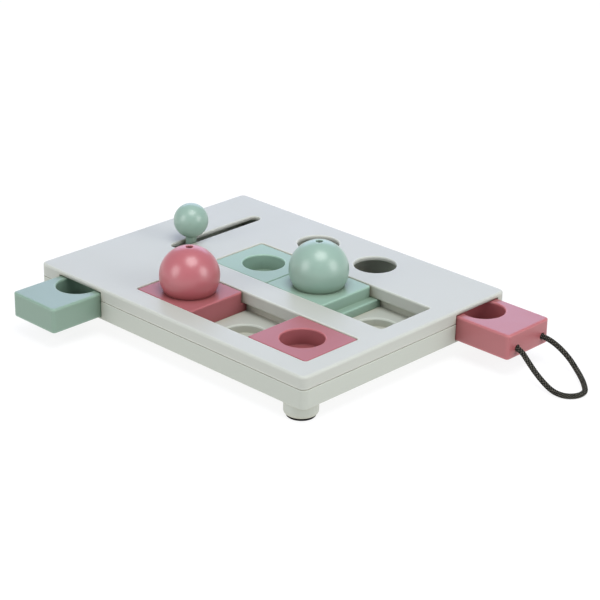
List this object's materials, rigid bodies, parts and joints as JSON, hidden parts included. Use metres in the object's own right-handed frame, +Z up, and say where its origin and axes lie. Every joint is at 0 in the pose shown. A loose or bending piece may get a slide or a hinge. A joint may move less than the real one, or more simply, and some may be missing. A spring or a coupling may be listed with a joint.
{
  "type": "cat puzzle feeder",
  "caption": "Flat treat puzzle for a cat: sliding blocks with wells, ball covers, paw holes, a lever-driven drawer and a drawer pulled by a cord.",
  "frame": {"origin": "on the standing surface, under the middle of the board", "axes": "+Z up; +X along the board's long side, towards the cord drawer; +Y across it, away from the lever drawer's mouth"},
  "size_m": [0.3442, 0.232, 0.0638],
  "materials": {
    "grey_plastic": "satin moulded plastic, light grey",
    "mint_plastic": "satin moulded plastic, mint",
    "rose_plastic": "satin moulded plastic, dusty rose",
    "pad_rubber": "matt black rubber",
    "screw_steel": "zinc plated",
    "cord_braid": "black round braid"
  },
  "bodies": {
    "board": {"top_plate": "grey_plastic", "base_tray": "grey_plastic", "case_screws": "screw_steel", "foot_pad_front_left": "pad_rubber", "foot_pad_front_right": "pad_rubber", "foot_pad_rear_left": "pad_rubber", "foot_pad_rear_right": "pad_rubber"},
    "rose_slider_left": {"rose_slider_left": "rose_plastic"},
    "rose_slider_right": {"rose_slider_right": "rose_plastic"},
    "mint_slider_left": {"mint_slider_left": "mint_plastic"},
    "mint_slider_right": {"mint_slider_right": "mint_plastic"},
    "rose_ball_cover": {"rose_ball_cover": "rose_plastic"},
    "mint_ball_cover": {"mint_ball_cover": "mint_plastic"},
    "mint_drawer": {"mint_drawer": "mint_plastic", "lever_knob": "mint_plastic", "knob_screw": "screw_steel"},
    "rose_drawer": {"rose_drawer": "rose_plastic", "pull_cord": "cord_braid", "cord_knot_near": "cord_braid", "cord_knot_far": "cord_braid"}
  },
  "joints": [
    {"name": "rose_slider_left_slide", "type": "slide", "parent": "board", "child": "rose_slider_left", "axis": [1, 0, 0], "range_m": [0, 0.052]},
    {"name": "rose_slider_right_slide", "type": "slide", "parent": "board", "child": "rose_slider_right", "axis": [1, 0, 0], "range_m": [-0.052, 0]},
    {"name": "mint_slider_right_slide", "type": "slide", "parent": "board", "child": "mint_slider_right", "axis": [1, 0, 0], "range_m": [0, 0.052]},
    {"name": "mint_slider_left_slide", "type": "slide", "parent": "board", "child": "mint_slider_left", "axis": [1, 0, 0], "range_m": [0, 0.052]},
    {"name": "rose_ball_lift", "type": "slide", "parent": "rose_slider_left", "child": "rose_ball_cover", "axis": [0, 0, 1], "range_m": [0, 0.04]},
    {"name": "mint_ball_lift", "type": "slide", "parent": "mint_slider_right", "child": "mint_ball_cover", "axis": [0, 0, 1], "range_m": [0, 0.04]},
    {"name": "mint_drawer_slide", "type": "slide", "parent": "board", "child": "mint_drawer", "axis": [0, 1, 0], "range_m": [-0.013, 0.062]},
    {"name": "rose_drawer_slide", "type": "slide", "parent": "board", "child": "rose_drawer", "axis": [1, 0, 0], "range_m": [-0.043, 0.01]}
  ],
  "couplings": [
    {"joint": "mint_slider_left_slide", "follows": "mint_slider_right_slide", "ratio": 1}
  ]
}
